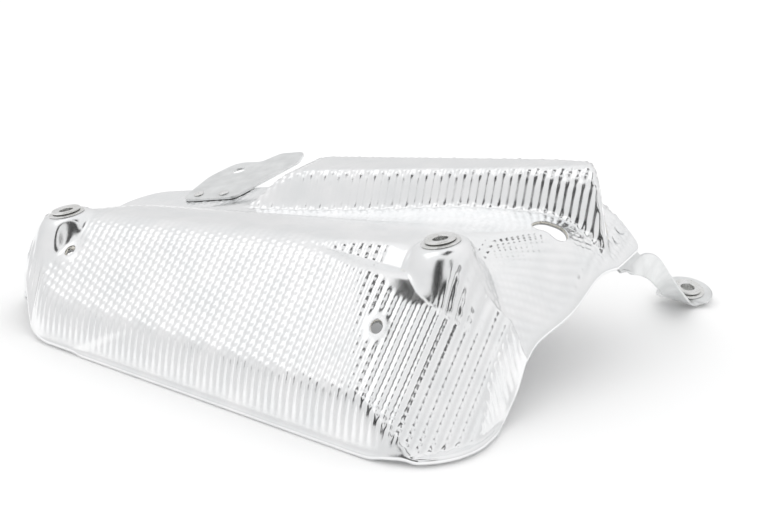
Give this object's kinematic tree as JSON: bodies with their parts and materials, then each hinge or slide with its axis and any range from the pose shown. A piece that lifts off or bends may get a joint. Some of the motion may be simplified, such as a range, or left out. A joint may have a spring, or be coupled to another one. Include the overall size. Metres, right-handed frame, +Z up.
{
  "type": "exhaust manifold heat shield",
  "caption": "Embossed aluminium laminate heat shield for an exhaust manifold, with floating-sleeve bolt seats, a twisted strap bracket and a riveted rear tab.",
  "frame": {"origin": "on the bench the shield rests on, at the middle of the bottom of its bounding box", "axes": "+X from the left top bolt seat to the right one, level; +Y to the rear of the shield; +Z up from the bench"},
  "size_m": [0.4008, 0.3018, 0.1084],
  "materials": {
    "bright_aluminium": "bright embossed sheet",
    "dull_aluminium": "dull mill finish",
    "glass_fibre_mat": "fibrous",
    "plated_steel": "zinc plated",
    "knitted_wire": "knitted stainless wire",
    "aluminised_steel": "matt aluminised"
  },
  "bodies": {
    "shell": {"outer_sheet": "bright_aluminium", "insulation_mat": "glass_fibre_mat", "inner_sheet": "dull_aluminium", "side_bracket": "aluminised_steel", "rear_tab": "aluminised_steel", "left_retainer_ring": "plated_steel", "right_retainer_ring": "plated_steel", "side_retainer_ring": "plated_steel", "side_rivet_1": "plated_steel", "side_rivet_2": "plated_steel", "rear_rivet_1": "plated_steel", "rear_rivet_2": "plated_steel"},
    "left_mesh": {"left_mesh_ring": "knitted_wire"},
    "left_sleeve": {"left_sleeve": "plated_steel", "left_lower_washer": "plated_steel"},
    "right_mesh": {"right_mesh_ring": "knitted_wire"},
    "right_sleeve": {"right_sleeve": "plated_steel", "right_lower_washer": "plated_steel"},
    "side_mesh": {"side_mesh_ring": "knitted_wire"},
    "side_sleeve": {"side_sleeve": "plated_steel", "side_lower_washer": "plated_steel"}
  },
  "joints": [
    {"name": "left_float_x", "type": "slide", "parent": "shell", "child": "left_mesh", "axis": [0.9872, -0.0097, 0.1593], "range_m": [-0.0005, 0.0005]},
    {"name": "left_float_y", "type": "slide", "parent": "left_mesh", "child": "left_sleeve", "axis": [0, 0.9981, 0.0609], "range_m": [-0.0005, 0.0005]},
    {"name": "right_float_x", "type": "slide", "parent": "shell", "child": "right_mesh", "axis": [0.9872, -0.0097, 0.1593], "range_m": [-0.0005, 0.0005]},
    {"name": "right_float_y", "type": "slide", "parent": "right_mesh", "child": "right_sleeve", "axis": [0, 0.9981, 0.0609], "range_m": [-0.0005, 0.0005]},
    {"name": "side_float_x", "type": "slide", "parent": "shell", "child": "side_mesh", "axis": [0.9891, 0.0201, -0.1456], "range_m": [-0.0005, 0.0005]},
    {"name": "side_float_y", "type": "slide", "parent": "side_mesh", "child": "side_sleeve", "axis": [0, 0.9906, 0.1365], "range_m": [-0.0005, 0.0005]}
  ]
}
